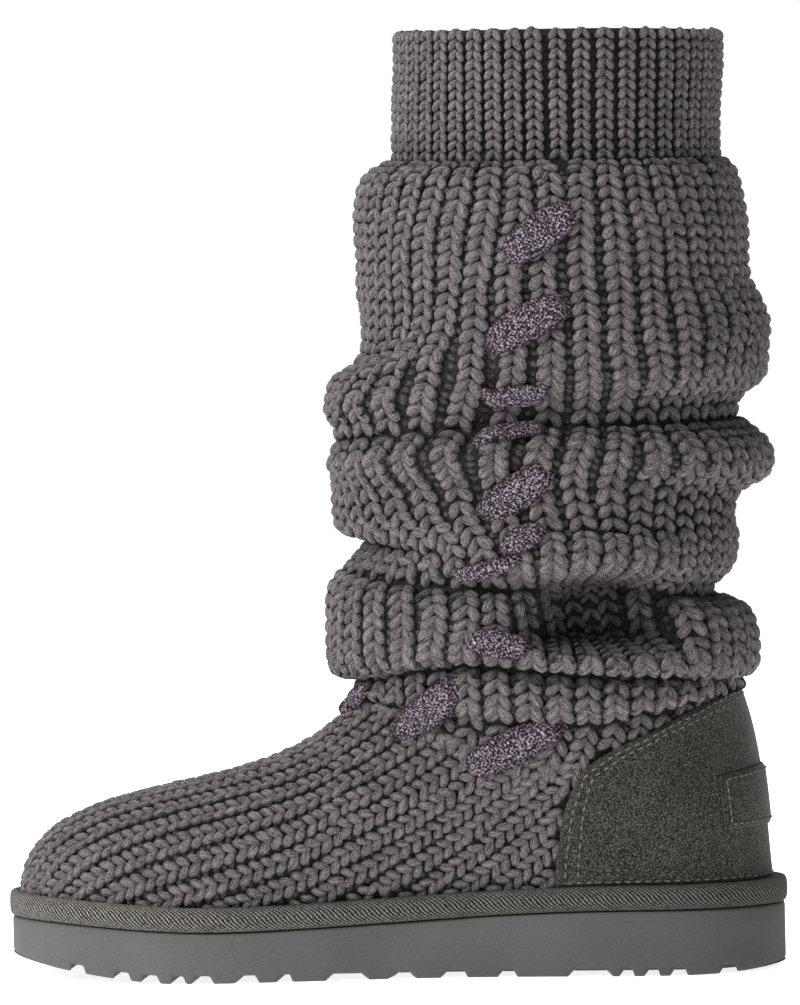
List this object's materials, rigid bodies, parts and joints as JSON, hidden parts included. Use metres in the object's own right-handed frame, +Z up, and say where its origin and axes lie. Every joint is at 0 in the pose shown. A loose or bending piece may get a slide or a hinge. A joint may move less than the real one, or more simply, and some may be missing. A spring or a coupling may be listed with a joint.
{
  "type": "slouchy knitted boot",
  "caption": "Slouchy ribbed knit ankle boot with a tall collar, woven strip up each side, suede heel counter, taped edge and a thick foam sole.",
  "frame": {"origin": "on the floor, under the middle of the sole, on its centre line", "axes": "+X towards the heel, +Y towards the outer side of this right boot, +Z up towards the collar"},
  "size_m": [0.278, 0.1438, 0.3325],
  "materials": {
    "foam": "matt grey foam",
    "tape": "woven grey-green tape",
    "fleece": "short fleece",
    "knit": "thick ribbed wool knit",
    "suede": "napped suede",
    "label_suede": "napped suede, bare",
    "lace_yarn": "flat knitted strip of heather yarn"
  },
  "bodies": {
    "root": {"outsole": "foam", "binding": "tape", "insole": "fleece", "upper": "knit", "heel_counter": "suede", "heel_label": "label_suede", "lace": "lace_yarn"}
  },
  "joints": []
}
